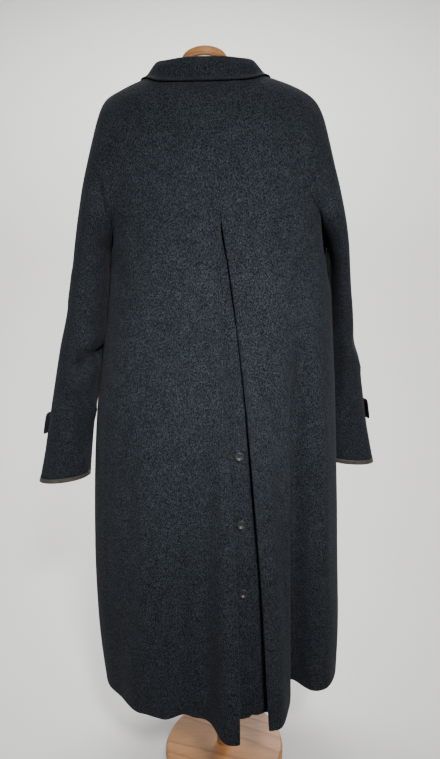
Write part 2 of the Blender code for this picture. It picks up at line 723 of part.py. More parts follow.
def turned(name, profile, finish, steps, tilt=0.0, centre=(0.0, 0.0, 0.0)):
    """Turned piece from a profile of radius and height, closed on the axis."""
    bm = bmesh.new()
    verts = [bm.verts.new((r, 0.0, z)) for r, z in profile]
    edges = [bm.edges.new(pair) for pair in zip(verts, verts[1:])]
    bmesh.ops.spin(bm, geom=verts + edges, cent=(0, 0, 0), axis=(0, 0, 1), dvec=(0, 0, 0),
                   angle=2 * math.pi, steps=steps, use_merge=True)
    bmesh.ops.remove_doubles(bm, verts=list(bm.verts), dist=0.00001)
    bmesh.ops.recalc_face_normals(bm, faces=list(bm.faces))
    c, s = math.cos(tilt), math.sin(tilt)
    for v in bm.verts:
        x, y, z = v.co
        v.co = (x + centre[0], y * c - z * s + centre[1], y * s + z * c + centre[2])
    if bm.calc_volume(signed=True) < 0:
        bmesh.ops.reverse_faces(bm, faces=list(bm.faces))
    return add_object(name, bm, finish)


def dress_form():
    """Padded torso without limbs, its neck and cap, and the wooden stand."""
    rings = [oval(row[1], row[2], row[0], 24) for row in FORM]
    loft_rings("form_torso", rings, "linen")
    top = FORM[-1][0] + FORM_GAP
    tilt = math.radians(CAP_TILT)
    cap_z = CAP_TOP_Z - CAP_THICK
    turns = ring_turns(24)
    low = [(NECK_R * math.cos(t), NECK_R * math.sin(t), top) for t in turns]
    high = [(x, y, cap_z - FORM_GAP + math.tan(tilt) * y) for x, y, _ in low]
    loft_rings("form_neck", [low, high], "linen")
    profile = ((0.0, CAP_THICK), (CAP_R - 0.003, CAP_THICK), (CAP_R - 0.0008, CAP_THICK - 0.0012),
               (CAP_R, CAP_THICK - 0.004), (CAP_R, 0.004), (CAP_R - 0.0008, 0.0012),
               (CAP_R - 0.003, 0.0), (0.0, 0.0))
    turned("neck_cap", profile, "wood", 28, tilt, (0.0, 0.0, cap_z))
    bottom = FORM[0][0] - FORM_GAP
    foot = BASE_THICK + FORM_GAP
    pole = ((0.0, bottom), (POLE_R, bottom), (POLE_R, foot), (0.0, foot))
    turned("stand_pole", pole, "wood", 20)
    rounded = 0.3 * BASE_EDGE
    base = ((0.0, BASE_THICK), (BASE_R - BASE_EDGE, BASE_THICK),
            (BASE_R - rounded, BASE_THICK - rounded), (BASE_R, BASE_THICK - BASE_EDGE),
            (BASE_R, 0.002), (BASE_R - 0.002, 0.0), (0.0, 0.0))
    turned("stand_base", base, "wood", 48)


def ring_turns(count):
    """Angles of the points of a round ring."""
    return [2 * math.pi * k / count for k in range(count)]


def coat():
    """All the cut pieces of the coat, its buttons, tabs and bindings."""
    panels = {}
    normals = {}
    for side in ("left", "right"):
        panels["back", side] = back_panel(side)
        panels["front", side] = front_panel(side)
        for face in ("back", "front"):
            normals[face, side] = panel_normals(panels[face, side], face)
    sleeves = {}
    sleeve_normals = {}
    for side in ("left", "right"):
        grid = sleeve_grid(side, panels["back", side], panels["front", side],
                           normals["back", side], normals["front", side])
        sleeves[side] = grid
        sleeve_normals[side] = tube_normals(grid)
        share_normals(side, normals, sleeve_normals[side])
    for side in ("left", "right"):
        for face in ("back", "front"):
            outer, inner = layers(panels[face, side], normals[face, side])
            outer, inner = [draw_in(g, "first", SEAM / 2) for g in (outer, inner)]
            wall(face + "_" + side, outer, inner)
        outer, inner = layers(sleeves[side], sleeve_normals[side])
        for edge in ("first", "last"):
            outer, inner = [draw_in(g, edge, SEAM / 2) for g in (outer, inner)]
        wall("sleeve_" + side, outer, inner)
        cuff_pieces(side, outer, sleeve_normals[side])
        grid = underlay_grid(side)
        outer, inner = layers(grid, np.broadcast_to(np.array((0.0, 1.0, 0.0)), grid.shape))
        wall("vent_underlay_" + side, outer, inner)
    grid = collar_grid(panels, normals, sleeves, sleeve_normals)
    fall = normals_of(grid, 1)
    if float((fall[-1] * grid[-1] * (1, 1, 0)).sum()) < 0:
        fall = -fall
    wall("collar", grid, grid - fall * CLOTH)
    vent_buttons()
    front_buttons(panels["front", "left"], normals["front", "left"])


def panel_normals(grid, face):
    """Normals of a panel, with the side seam's pointing straight out."""
    normals = normals_of(grid, 1)
    sign = 1 if face == "back" else -1
    if float((normals[:, :FRONT_COLUMNS - 2, 1]).sum()) * sign < 0:
        normals = -normals
    for i in range(grid.shape[0]):
        if grid[i, 0, 2] <= UNDERARM_Z + 1e-6:
            normals[i, 0] = (math.copysign(1.0, grid[i, 0, 0]), 0.0, 0.0)
    return normals


def share_normals(side, normals, sleeve):
    """Give the two pieces at each point of a raglan seam one common normal."""
    base = len(SKIRT_ROWS)
    seams = seam_heights()
    for k in range(len(seams) - 1, 0, -1):
        row = len(seams) - 1 - k
        for face, col in (("back", 0), ("front", -1)):
            both = unit(normals[face, side][base + k, 0] + sleeve[row, col])
            normals[face, side][base + k, 0] = both
            sleeve[row, col] = both


def vent_buttons():
    """Three buttons on the upper underlay of the vent."""
    levels = underlay_grid("left")[:, 0]
    for k, z in enumerate(VENT_BUTTON_Z):
        y = float(np.interp(z, levels[:, 2], levels[:, 1]))
        run = np.interp((z - 0.01, z + 0.01), levels[:, 2], levels[:, 1])
        out = unit(np.array((0.0, 0.02, run[0] - run[1])))
        button("vent_button_%d" % (k + 1), np.array((VENT_BUTTON_X, y, z)), out, VENT_BUTTON_R)


def front_buttons(grid, normals):
    """Buttons down the front edge, on the left front."""
    col = grid.shape[1] - FRONT_BUTTON_INSET
    rows = np.arange(0, grid.shape[0] - 1, 0.25)
    heights = [frame_at(grid, normals, row, col)[0][2] for row in rows]
    for k in range(FRONT_BUTTONS):
        row = float(np.interp(FRONT_BUTTON_TOP_Z - FRONT_BUTTON_STEP * k, heights, rows))
        point, out = frame_at(grid, normals, row, col)
        button("front_button_%d" % (k + 1), point, out, FRONT_BUTTON_R)


def build():
    """Clear the scene and make the coat on its form."""
    for obj in list(bpy.data.objects):
        bpy.data.objects.remove(obj, do_unlink=True)
    made = bpy.data.collections.new(COLLECTION)
    bpy.context.scene.collection.children.link(made)
    dress_form()
    coat()


build()
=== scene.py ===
import math

import bmesh
import bpy
from mathutils import Matrix, Vector, noise
from mathutils.bvhtree import BVHTree


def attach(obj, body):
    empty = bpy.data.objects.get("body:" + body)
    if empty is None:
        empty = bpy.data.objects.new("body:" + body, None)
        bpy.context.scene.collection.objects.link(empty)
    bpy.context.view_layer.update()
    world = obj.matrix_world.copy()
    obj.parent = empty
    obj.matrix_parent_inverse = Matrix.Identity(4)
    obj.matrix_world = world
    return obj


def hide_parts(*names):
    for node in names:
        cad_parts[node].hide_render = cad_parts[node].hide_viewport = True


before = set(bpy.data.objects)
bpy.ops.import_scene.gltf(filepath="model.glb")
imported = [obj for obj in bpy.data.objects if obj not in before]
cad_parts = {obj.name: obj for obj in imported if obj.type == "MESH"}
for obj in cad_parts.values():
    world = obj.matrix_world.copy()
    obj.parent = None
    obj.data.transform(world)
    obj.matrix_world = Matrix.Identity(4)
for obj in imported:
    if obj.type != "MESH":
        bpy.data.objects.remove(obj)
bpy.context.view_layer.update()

bl_info = {
    "name": "Loden Coat on Dress Form",
    "version": (1, 0, 0),
    "blender": (4, 5, 0),
    "location": "3D View > Sidebar > Coat",
    "description": "Dresses a rigid coat model with fulled wool, seams, buttons and a stand",
    "category": "Object",
}

# Pieces of the coat and of what carries it, as they are cut and sewn.
BODY_CLOTH = ("back_left", "back_right", "vent_underlay_left", "vent_underlay_right",
              "front_left", "front_right", "collar")
SIDES = ("left", "right")
# Flat cut of each sheet: node, width, length, area.
FLAT_SIZES = (
    ("back_left", 0.47, 1.22, 0.455),
    ("back_right", 0.50, 1.22, 0.470),
    ("vent_underlay_left", 0.115, 0.93, 0.074),
    ("vent_underlay_right", 0.115, 0.93, 0.072),
    ("front_left", 0.42, 1.20, 0.400),
    ("front_right", 0.42, 1.20, 0.400),
    ("sleeve_left", 0.50, 0.86, 0.330),
    ("sleeve_right", 0.50, 0.86, 0.330),
    ("collar", 0.50, 0.095, 0.044),
    ("cuff_tab_left", 0.13, 0.046, 0.0058),
    ("cuff_tab_right", 0.13, 0.046, 0.0058),
    ("cuff_binding_left", 0.42, 0.0135, 0.0055),
    ("cuff_binding_right", 0.42, 0.0135, 0.0055),
)

# Soft creases: where, start, end, width, height. A height below zero is a trough.
# A crease is laid by x and z, and the y of its start says which side it lies on.
CREASES = (
    ("left_arm", (0.228, 0.05, 0.961), (0.289, 0.05, 0.922), 0.012, 0.0090),
    ("left_arm", (0.205, 0.05, 0.942), (0.292, 0.05, 0.886), 0.009, -0.0200),
    ("left_arm", (0.228, 0.05, 0.900), (0.237, 0.05, 0.765), 0.010, -0.0140),
    ("left_arm", (0.298, 0.05, 0.915), (0.238, 0.05, 0.735), 0.009, 0.0100),
    ("left_arm", (0.279, 0.05, 0.858), (0.270, 0.05, 0.690), 0.012, -0.0130),
    ("body", (0.213, 0.05, 1.285), (0.197, 0.05, 1.115), 0.009, -0.0140),
    ("left_arm", (0.250, -0.075, 0.955), (0.300, -0.065, 0.900), 0.012, -0.0070),
    ("left_arm", (0.250, -0.070, 0.900), (0.300, -0.060, 0.845), 0.012, -0.0060),
    ("left_arm", (0.285, 0.060, 1.110), (0.300, 0.050, 1.010), 0.018, 0.0035),
    ("left_arm", (0.235, 0.075, 1.080), (0.262, 0.065, 1.000), 0.012, -0.0050),
    ("right_arm", (-0.262, -0.020, 0.980), (-0.322, -0.040, 0.905), 0.013, -0.0065),
    ("right_arm", (-0.275, -0.010, 0.930), (-0.330, -0.045, 0.850), 0.012, 0.0045),
    ("right_arm", (-0.262, -0.125, 0.960), (-0.318, -0.120, 0.900), 0.012, -0.0075),
    ("right_arm", (-0.262, -0.130, 0.900), (-0.322, -0.125, 0.850), 0.011, -0.0060),
    ("right_arm", (-0.290, -0.030, 0.820), (-0.300, -0.050, 0.730), 0.012, -0.0040),
    ("body", (0.158, 0.140, 0.780), (0.176, 0.150, 0.330), 0.014, -0.0045),
    ("body", (0.132, 0.160, 0.820), (0.146, 0.170, 0.300), 0.013, 0.0035),
    ("body", (0.065, 0.180, 0.600), (0.074, 0.200, 0.245), 0.012, -0.0045),
    ("body", (0.094, 0.170, 0.560), (0.104, 0.190, 0.245), 0.012, 0.0035),
    ("body", (0.208, 0.080, 0.800), (0.222, 0.090, 0.360), 0.013, -0.0040),
    ("body", (0.190, 0.080, 1.120), (0.150, 0.125, 1.020), 0.015, -0.0045),
    ("body", (0.175, 0.105, 1.180), (0.120, 0.135, 1.130), 0.014, -0.0028),
    ("body", (-0.215, 0.075, 1.130), (-0.160, 0.125, 1.040), 0.015, -0.0045),
    ("body", (-0.200, 0.110, 1.200), (-0.140, 0.130, 1.160), 0.014, -0.0028),
    ("body", (-0.222, 0.060, 1.310), (-0.246, 0.030, 1.030), 0.013, -0.0130),
    ("body", (-0.095, 0.165, 0.900), (-0.105, 0.190, 0.400), 0.011, 0.0030),
    ("body", (-0.068, 0.160, 0.860), (-0.088, 0.180, 0.520), 0.009, -0.0025),
    ("body", (-0.170, 0.120, 0.980), (-0.163, 0.150, 0.250), 0.016, -0.0200),
    ("right_arm", (-0.262, 0.040, 1.120), (-0.268, -0.030, 0.760), 0.014, -0.0100),
    ("body", (-0.153, 0.120, 0.920), (-0.1445, 0.150, 0.250), 0.007, -0.0300),
    ("body", (-0.137, 0.120, 0.920), (-0.131, 0.150, 0.250), 0.008, 0.0050),
    ("body", (-0.212, 0.080, 0.960), (-0.208, 0.110, 0.330), 0.013, 0.0050),
    ("body", (0.070, -0.160, 0.950), (0.078, -0.190, 0.300), 0.014, 0.0040),
    ("body", (0.140, -0.140, 1.000), (0.150, -0.160, 0.360), 0.015, -0.0045),
    ("body", (0.205, -0.060, 0.980), (0.228, -0.070, 0.360), 0.015, -0.0040),
    ("body", (0.175, -0.110, 1.180), (0.120, -0.140, 1.100), 0.015, -0.0045),
    ("body", (-0.080, -0.160, 0.950), (-0.092, -0.190, 0.300), 0.014, 0.0040),
    ("body", (-0.150, -0.140, 1.000), (-0.158, -0.160, 0.360), 0.015, -0.0045),
    ("body", (-0.225, -0.060, 0.980), (-0.232, -0.070, 0.360), 0.015, -0.0040),
    ("body", (-0.200, -0.105, 1.180), (-0.130, -0.140, 1.100), 0.015, -0.0045),
)
ARM_AXES = {
    "left": ((0.165, 0.0, 1.36), (0.262, -0.010, 1.00), (0.331, -0.020, 0.65)),
    "right": ((-0.175, 0.0, 1.36), (-0.278, -0.046, 1.00), (-0.312, -0.100, 0.65)),
}
ARM_STARTS_Z = 1.16       # sleeves follow the body's soft waves above this height
ARM_FREE_Z = 1.06         # and their own below this one

# Edges on the back, as rows of height and x.
LEFT_FLAP = ((0.245, -0.0320), (0.370, -0.0340), (0.490, -0.0340), (0.590, -0.0320),
             (0.685, -0.0290), (0.800, -0.0240), (0.960, -0.0220), (1.130, -0.0222))
RIGHT_FLAP = ((0.245, -0.0830), (0.370, -0.0800), (0.490, -0.0770), (0.590, -0.0720),
              (0.685, -0.0670), (0.800, -0.0600), (0.960, -0.0460), (1.130, -0.0262))
PLACKET = ((0.245, -0.0620), (0.490, -0.0630), (0.800, -0.0580), (1.050, -0.0550))
PLEAT_APEX_Z = 1.160
# The underlays sink beside the flaps' edges.
VENT_DROP, VENT_DROP_WIDTH = 0.006, 0.006

# Pieces sewn edge to edge, and how far apart their solids' edges stand.
SEWN = ("back_left", "back_right", "front_left", "front_right", "sleeve_left", "sleeve_right")
SEAM_REACH, CENTRE_REACH = 0.0007, 0.0016
SEAM_CREASE = 0.92
BINDING_WRAP = 0.0012      # how far the leather reaches up over the sleeve's end
COLLAR_STITCH_UP = 0.0068  # height of the collar's stitches over its edge
SEAM_STITCH_IN = 0.006     # distance of the raglan stitches from the seam
SEAM_STITCH_OUT, SEAM_STEP = 0.010, 0.004
FLAP_STITCH_IN, PLACKET_STITCH_IN = 0.0085, 0.0080
COLLAR_TURNS = range(-148, 171, 3)           # degrees round the neck that the fall covers
COLLAR_LOW_Z, COLLAR_SEARCH = 1.330, 150     # the fall's edge is sought up from here, in mm
OUTSIDE = 0.3                                # clear of the cloth, where a search starts
# The tack over the pleat: the side it is sewn to, its x and its rise over the apex.
TACKS = (("right", -0.031, 0.002), ("right", -0.026, 0.003),
         ("left", -0.020, 0.003), ("left", -0.015, 0.002))

# Wall thickness that tells the rims of the cloth, and how sharp they stay.
WALL_MIN, WALL_MAX = 0.0021, 0.0040
HEM_CREASE = 0.62

# Turned parts of the stand.
CAP_TOP_Z, CAP_R, CAP_THICK, CAP_TILT = 1.50, 0.046, 0.018, 8.5
BASE_R, BASE_THICK, BASE_EDGE = 0.133, 0.022, 0.007
POLE_R, FORM_BOTTOM_Z, FORM_GAP = 0.016, 0.740, 0.0003

# Buttons: a profile in shares of the radius and of the thickness.
BUTTON_THICK = 0.0035
BUTTON_PROFILE = (
    (0.00, 0.46), (0.40, 0.46), (0.54, 0.53), (0.63, 0.72), (0.72, 0.92), (0.81, 1.00),
    (0.90, 0.97), (0.97, 0.80), (1.00, 0.52), (0.98, 0.24), (0.90, 0.05), (0.80, 0.00),
    (0.00, 0.00),
)
HOLE_R, HOLE_OUT = 0.095, 0.20       # shares of the button's radius
THREAD_R = 0.00045

# Studio: a round floor that curves up into a wall.
WALL_R, WALL_TOP_Z, COVE_R, COVE_STEPS = 3.6, 5.0, 1.5, 10

# Lights: name, place, target, size, spread in degrees.
LIGHTS = (
    ("key", (-0.32, 1.66, 1.74), (0.02, 0.0, 0.76), 0.26, 60),
    ("fill", (1.3, 1.6, 1.1), (0.0, 0.0, 0.95), 0.8, 80),
    ("backdrop", (0.0, -1.2, 3.4), (0.0, -3.0, 0.9), 2.4, 152),
    ("front", (-0.9, -2.1, 1.9), (0.0, -0.1, 0.9), 0.9, 70),
)

CAMERA_AT = (-0.013, 1.110, 0.985)
CAMERA_PITCH = 6.5        # degrees below level
CAMERA_ROLL = 1.577       # degrees
CAMERA_FOCAL_PX = 526.0   # focal length in pixels of the frame's long side
FRAME_LONG_PX = 759.0
SENSOR_MM = 36.0


class CoatSettings(bpy.types.PropertyGroup):
    """Sizes and colours of the coat's finish."""
    wool: bpy.props.FloatVectorProperty(
        name="Wool", description="Ground colour of the fulled wool", subtype="COLOR",
        default=(0.0030, 0.0039, 0.0052), min=0, max=1)
    fleck: bpy.props.FloatVectorProperty(
        name="Fleck", description="Colour of the light fibres in the melange", subtype="COLOR",
        default=(0.0280, 0.0322, 0.0384), min=0, max=1)
    nap: bpy.props.FloatProperty(
        name="Nap", description="Height of the felted surface", default=0.0007,
        min=0, max=0.003, subtype="DISTANCE", unit="LENGTH")
    leather: bpy.props.FloatVectorProperty(
        name="Binding", description="Colour of the leather binding", subtype="COLOR",
        default=(0.040, 0.034, 0.027), min=0, max=1)
    horn: bpy.props.FloatVectorProperty(
        name="Horn", description="Colour of the dark horn buttons", subtype="COLOR",
        default=(0.008, 0.008, 0.008), min=0, max=1)
    wave: bpy.props.FloatProperty(
        name="Wave", description="Height of the cloth's slow waves", default=0.0022,
        min=0, max=0.01, subtype="DISTANCE", unit="LENGTH")
    stitch: bpy.props.FloatProperty(
        name="Stitch", description="Length of one stitch", default=0.0036,
        min=0.001, max=0.01, subtype="DISTANCE", unit="LENGTH")
    smoothness: bpy.props.IntProperty(
        name="Smoothness", description="Rounds of smoothing on the cloth", default=2, min=1, max=3)


class StandSettings(bpy.types.PropertyGroup):
    """Colours of the dress form and its stand."""
    linen: bpy.props.FloatVectorProperty(
        name="Cover", description="Colour of the form's cotton cover", subtype="COLOR",
        default=(0.70, 0.67, 0.61), min=0, max=1)
    wood_light: bpy.props.FloatVectorProperty(
        name="Early wood", description="Light bands of the pine", subtype="COLOR",
        default=(0.42, 0.200, 0.068), min=0, max=1)
    wood_dark: bpy.props.FloatVectorProperty(
        name="Late wood", description="Dark rings of the pine", subtype="COLOR",
        default=(0.24, 0.090, 0.026), min=0, max=1)


class StageSettings(bpy.types.PropertyGroup):
    """Floor and lights."""
    paper: bpy.props.FloatVectorProperty(
        name="Paper", description="Colour of the floor and backdrop", subtype="COLOR",
        default=(0.62, 0.615, 0.60), min=0, max=1)
    key: bpy.props.FloatProperty(
        name="Key light", description="Power of the main light in watts",
        default=10.0, min=0, max=500)
    fill: bpy.props.FloatProperty(
        name="Fill light", description="Power of the soft light from the other side in watts",
        default=1.6, min=0, max=500)
    backdrop: bpy.props.FloatProperty(
        name="Backdrop light", description="Power of the light on the backdrop in watts",
        default=200.0, min=0, max=1000)
    front: bpy.props.FloatProperty(
        name="Front light", description="Power of the light on the buttoned side in watts",
        default=7.0, min=0, max=500)
    room: bpy.props.FloatProperty(
        name="Room light", description="Strength of the even light from all round",
        default=0.05, min=0, max=3)


def smooth(t):
    """Ease from 0 to 1 as t goes from 0 to 1."""
    t = min(1.0, max(0.0, t))
    return t * t * (3 - 2 * t)


class Nodes:
    """Builds the node tree of one material, a line for each node."""

    def __init__(self, name):
        self.material = bpy.data.materials.new(name)
        self.material.use_nodes = True
        self.tree = self.material.node_tree
        self.shader = self.tree.nodes["Principled BSDF"]
        self.place = self.add("ShaderNodeTexCoord").outputs["Object"]

    def add(self, kind, **settings):
        node = self.tree.nodes.new(kind)
        for key, value in settings.items():
            setattr(node, key, value)
        return node

    def link(self, source, target):
        self.tree.links.new(source, target)

    def stretched(self, scale, turn=(0, 0, 0), at=(0, 0, 0)):
        node = self.add("ShaderNodeMapping")
        node.inputs["Scale"].default_value = scale
        node.inputs["Rotation"].default_value = turn
        node.inputs["Location"].default_value = at
        self.link(self.place, node.inputs["Vector"])
        return node.outputs["Vector"]

    def noise(self, scale, detail=3.0, rough=0.55, vector=None, distortion=0.0):
        node = self.add("ShaderNodeTexNoise")
        node.inputs["Scale"].default_value = scale
        node.inputs["Detail"].default_value = detail
        node.inputs["Roughness"].default_value = rough
        node.inputs["Distortion"].default_value = distortion
        self.link(vector or self.place, node.inputs["Vector"])
        return node.outputs["Fac"]

    def ramp(self, fac, stops):
        node = self.add("ShaderNodeValToRGB")
        while len(node.color_ramp.elements) < len(stops):
            node.color_ramp.elements.new(0.5)
        for element, (position, colour) in zip(node.color_ramp.elements, stops):
            element.position = position
            element.color = (*colour, 1) if hasattr(colour, "__len__") else (colour,) * 3 + (1,)
        self.link(fac, node.inputs["Fac"])
        return node.outputs["Color"]

    def mix(self, fac, a, b, blend="MIX"):
        node = self.add("ShaderNodeMix", data_type="RGBA", blend_type=blend)
        for socket, value in ((node.inputs["Factor"], fac), (node.inputs[6], a),
                              (node.inputs[7], b)):
            if isinstance(value, bpy.types.NodeSocket):
                self.link(value, socket)
            elif hasattr(value, "__len__"):
                socket.default_value = (*value, 1)
            else:
                socket.default_value = value
        return node.outputs[2]

    def bump(self, height, distance, strength=1.0, normal=None):
        node = self.add("ShaderNodeBump")
        node.inputs["Strength"].default_value = strength
        node.inputs["Distance"].default_value = distance
        self.link(height, node.inputs["Height"])
        if normal:
            self.link(normal, node.inputs["Normal"])
        return node.outputs["Normal"]

    def finish(self, colour=None, normal=None, **values):
        if colour is not None:
            self.link(colour, self.shader.inputs["Base Color"])
        if normal is not None:
            self.link(normal, self.shader.inputs["Normal"])
        for key, value in values.items():
            socket = self.shader.inputs[key.replace("_", " ")]
            if isinstance(value, bpy.types.NodeSocket):
                self.link(value, socket)
            else:
                socket.default_value = value
        return self.material


def loden(name="fulled_wool", lift=1.0):
    """Dark fulled wool: a melange of dark and pale fibres under a short brushed nap."""
    found = bpy.data.materials.get(name)
    if found:
        return found
    coat = bpy.context.scene.coat
    n = Nodes(name)
    # A lift below one darkens every colour of the wool. The cuff tabs' copy at 0.94 is painted
    # shade.
    ground = tuple(c * lift for c in coat.wool)
    fleck = tuple(c * lift for c in coat.fleck)
    brushed = n.stretched((1.0, 1.0, 0.55))
    fibres = n.noise(900.0, 2.0, 0.7, brushed, 0.6)
    clumps = n.noise(620.0, 3.0, 0.70, brushed, 0.3)
    patches = n.noise(46.0, 3.0, 0.6)
    broad = n.noise(5.5, 2.0, 0.5)
    melange = n.mix(n.ramp(clumps, ((0.43, 0.0), (0.53, 0.42), (0.62, 1.0))), ground, fleck)
    hair = n.mix(n.ramp(fibres, ((0.60, 0.0), (0.72, 0.50))), melange,
                 tuple(min(1.0, c * 2.2) for c in fleck))
    pits = n.mix(n.ramp(fibres, ((0.30, 1.0), (0.44, 0.0))), hair,
                 tuple(c * 0.35 for c in ground))
    mottled = n.mix(1.0, pits, n.ramp(patches, ((0.34, (0.80, 0.81, 0.84)),
                                                (0.68, (1.08, 1.08, 1.08)))), "MULTIPLY")
    worn = n.mix(1.0, mottled, n.ramp(broad, ((0.3, (0.90, 0.91, 0.93)),
                                              (0.7, (1.0, 1.0, 1.0)))), "MULTIPLY")
    felt = n.bump(clumps, coat.nap * 1.8, 0.5)
    nap = n.bump(fibres, coat.nap, 0.5, felt)
    return n.finish(worn, nap, Roughness=0.95, Sheen_Weight=0.02, Sheen_Roughness=0.5,
                    Sheen_Tint=(0.62, 0.70, 0.80, 1), Specular_IOR_Level=0.10)


def leather():
    """Matt brown binding leather with fine pores and blotches of tone."""
    found = bpy.data.materials.get("binding_leather")
    if found:
        return found
    n = Nodes("binding_leather")
    tone = bpy.context.scene.coat.leather
    pores = n.add("ShaderNodeTexVoronoi")
    pores.inputs["Scale"].default_value = 900.0
    n.link(n.place, pores.inputs["Vector"])
    blotch = n.noise(120.0, 4.0, 0.6)
    colour = n.mix(n.ramp(blotch, ((0.35, 0.0), (0.7, 1.0))),
                   tuple(c * 0.62 for c in tone), tuple(c * 1.35 for c in tone))
    normal = n.bump(pores.outputs["Distance"], 0.0003, 0.5)
    return n.finish(colour, normal, Roughness=0.58, Specular_IOR_Level=0.4)


def horn():
    """Polished dark horn with faint paler streaks."""
    found = bpy.data.materials.get("dark_horn")
    if found:
        return found
    n = Nodes("dark_horn")
    tone = bpy.context.scene.coat.horn
    streaks = n.noise(160.0, 4.0, 0.6, n.stretched((1.0, 1.0, 0.25)), 1.2)
    colour = n.ramp(streaks, ((0.35, tuple(tone)), (0.62, tuple(c * 2.6 for c in tone)),
                              (0.80, (0.050, 0.042, 0.034))))
    rough = n.ramp(n.noise(420.0), ((0.3, 0.36), (0.7, 0.52)))
    return n.finish(colour, n.bump(streaks, 0.0001, 0.3), Roughness=rough,
                    Specular_IOR_Level=0.4, Coat_Weight=0.06, Coat_Roughness=0.2)


def thread(name="sewing_thread", colour=(0.0050, 0.0060, 0.0075)):
    """Twisted sewing thread, a little smoother than the wool."""
    found = bpy.data.materials.get(name)
    if found:
        return found
    n = Nodes(name)
    twist = n.noise(2600.0, 1.0, 0.5)
    tone = n.ramp(twist, ((0.35, tuple(c * 0.7 for c in colour)),
                          (0.7, tuple(c * 1.5 for c in colour))))
    return n.finish(tone, n.bump(twist, 0.0001, 0.5), Roughness=0.75, Specular_IOR_Level=0.2)


def linen():
    """Cream cotton cover with a fine plain weave."""
    found = bpy.data.materials.get("cotton_cover")
    if found:
        return found
    n = Nodes("cotton_cover")
    tone = tuple(bpy.context.scene.stand.linen)
    across = n.add("ShaderNodeTexWave", wave_type="BANDS", bands_direction="Z")
    across.inputs["Scale"].default_value = 260.0
    along = n.add("ShaderNodeTexWave", wave_type="BANDS", bands_direction="DIAGONAL")
    along.inputs["Scale"].default_value = 180.0
    for wave in (across, along):
        wave.inputs["Distortion"].default_value = 0.6
        n.link(n.place, wave.inputs["Vector"])
    weave = n.mix(0.5, across.outputs["Color"], along.outputs["Color"])
    soiled = n.mix(n.ramp(n.noise(9.0, 4.0), ((0.35, 0.0), (0.75, 1.0))), tone,
                   tuple(c * 0.90 for c in tone))
    colour = n.mix(0.10, soiled, weave, "MULTIPLY")
    return n.finish(colour, n.bump(weave, 0.0003, 0.35), Roughness=0.86, Sheen_Weight=0.15)


def pine(name, centre, tilt, spread):
    """Flat-sawn pine under satin lacquer; growth rings are cut by the surface."""
    found = bpy.data.materials.get(name)
    if found:
        return found
    stand = bpy.context.scene.stand
    light, dark = tuple(stand.wood_light), tuple(stand.wood_dark)
    n = Nodes(name)
    log = n.stretched(spread, tilt, centre)
    wander = n.noise(3.2, 3.0, 0.5, log)
    rings = n.add("ShaderNodeTexWave", wave_type="RINGS", rings_direction="X",
                  wave_profile="SAW")
    rings.inputs["Scale"].default_value = 1.0
    rings.inputs["Distortion"].default_value = 1.6
    rings.inputs["Detail"].default_value = 2.0
    rings.inputs["Detail Scale"].default_value = 0.7
    n.link(log, rings.inputs["Vector"])
    grain = n.noise(46.0, 5.0, 0.65, n.stretched((0.5, 7.0, 7.0), tilt, centre))
    late = n.ramp(rings.outputs["Fac"], ((0.15, 0.0), (0.72, 0.30), (0.93, 0.95), (1.0, 0.25)))
    bands = n.mix(late, light, dark)
    fine = n.mix(n.ramp(grain, ((0.36, 0.0), (0.66, 1.0))), (0.80, 0.76, 0.70), (1.08, 1.06, 1.04))
    body = n.mix(1.0, bands, fine, "MULTIPLY")
    warm = n.mix(n.ramp(wander, ((0.35, 0.0), (0.7, 0.35))), body, (0.44, 0.20, 0.075))
    return n.finish(warm, n.bump(grain, 0.00025, 0.3), Roughness=0.48, Coat_Weight=0.08,
                    Coat_Roughness=0.25)


def link_piece(name, mesh, material):
    """Object of a finished mesh, lying where its points say."""
    obj = bpy.data.objects.new(name, mesh)
    bpy.context.scene.collection.objects.link(obj)
    mesh.materials.clear()
    mesh.materials.append(material)
    mesh.shade_smooth()
    return obj


def from_bmesh(name, bm, material):
    """Named piece made from a bmesh, which is freed."""
    mesh = bpy.data.meshes.new(name)
    bm.to_mesh(mesh)
    bm.free()
    return link_piece(name, mesh, material)


def between(table, z):
    """Value at height z of a table of height and value, straight between rows."""
    if z <= table[0][0]:
        return table[0][1]
    for (z0, v0), (z1, v1) in zip(table, table[1:]):
        if z <= z1:
            return v0 + (v1 - v0) * (z - z0) / (z1 - z0)
    return table[-1][1]


def tree_over(nodes):
    """One search tree over the solids of several CAD nodes."""
    points, faces = [], []
    for node in nodes:
        mesh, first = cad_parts[node].data, len(points)
        points += [v.co.copy() for v in mesh.vertices]
        faces += [[first + i for i in p.vertices] for p in mesh.polygons]
    return BVHTree.FromPolygons(points, faces)


def sewn_shut(bm, node):
    """Bring the rims that are sewn to another piece together, and return their points."""
    met = set()
    if node not in SEWN:
        return met
    tree = tree_over([other for other in SEWN if other != node])
    back = tree_over(["back_right" if node == "back_left" else "back_left"])
    for vert in bm.verts:
        place, _, _, far = tree.find_nearest(vert.co)
        if node.startswith("back") and vert.co.z > PLEAT_APEX_Z:
            mirror, _, _, reach = back.find_nearest(vert.co)
            if reach < CENTRE_REACH:
                vert.co.x = (vert.co.x + mirror.x) / 2
                met.add(vert)
                continue
        if far < SEAM_REACH:
            vert.co = (vert.co + place) / 2
            met.add(vert)
    return met


